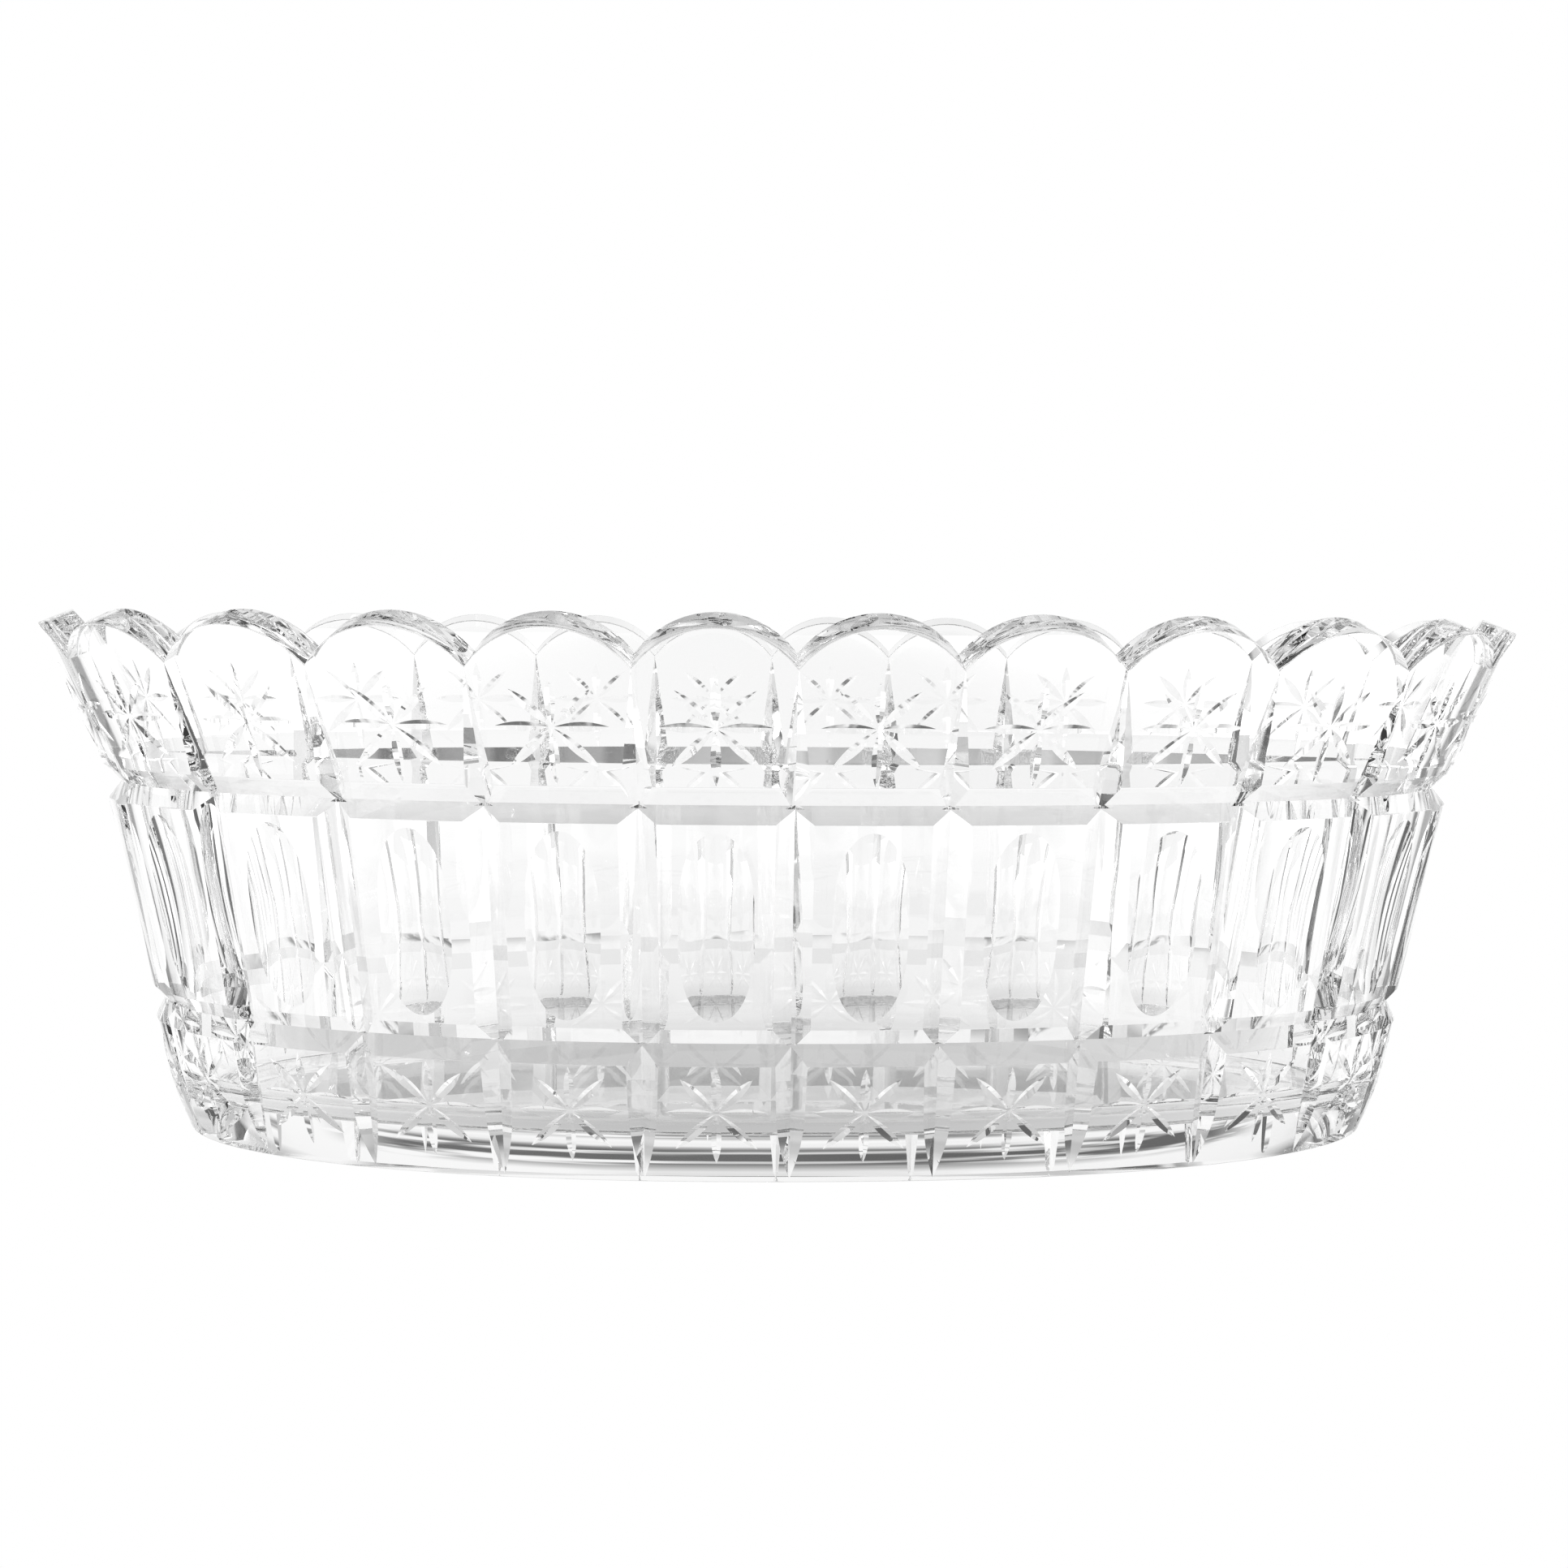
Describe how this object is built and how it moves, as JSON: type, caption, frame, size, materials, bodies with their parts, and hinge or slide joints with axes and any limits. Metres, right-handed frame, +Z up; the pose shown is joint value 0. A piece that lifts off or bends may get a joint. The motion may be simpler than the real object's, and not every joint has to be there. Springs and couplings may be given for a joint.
{
  "type": "jardiniere",
  "caption": "Oval cut-crystal jardiniere with a flared, scalloped rim, panelled wall and thick flat foot; holds plants or flowers.",
  "frame": {"origin": "on the surface it stands on, under the middle of the bowl", "axes": "+X along the length of the bowl, +Y across it towards the back, +Z up"},
  "size_m": [0.3272, 0.1836, 0.1157],
  "materials": {
    "lead_crystal": "cut and polished"
  },
  "bodies": {
    "root": {"glass_bowl": "lead_crystal"}
  },
  "joints": []
}
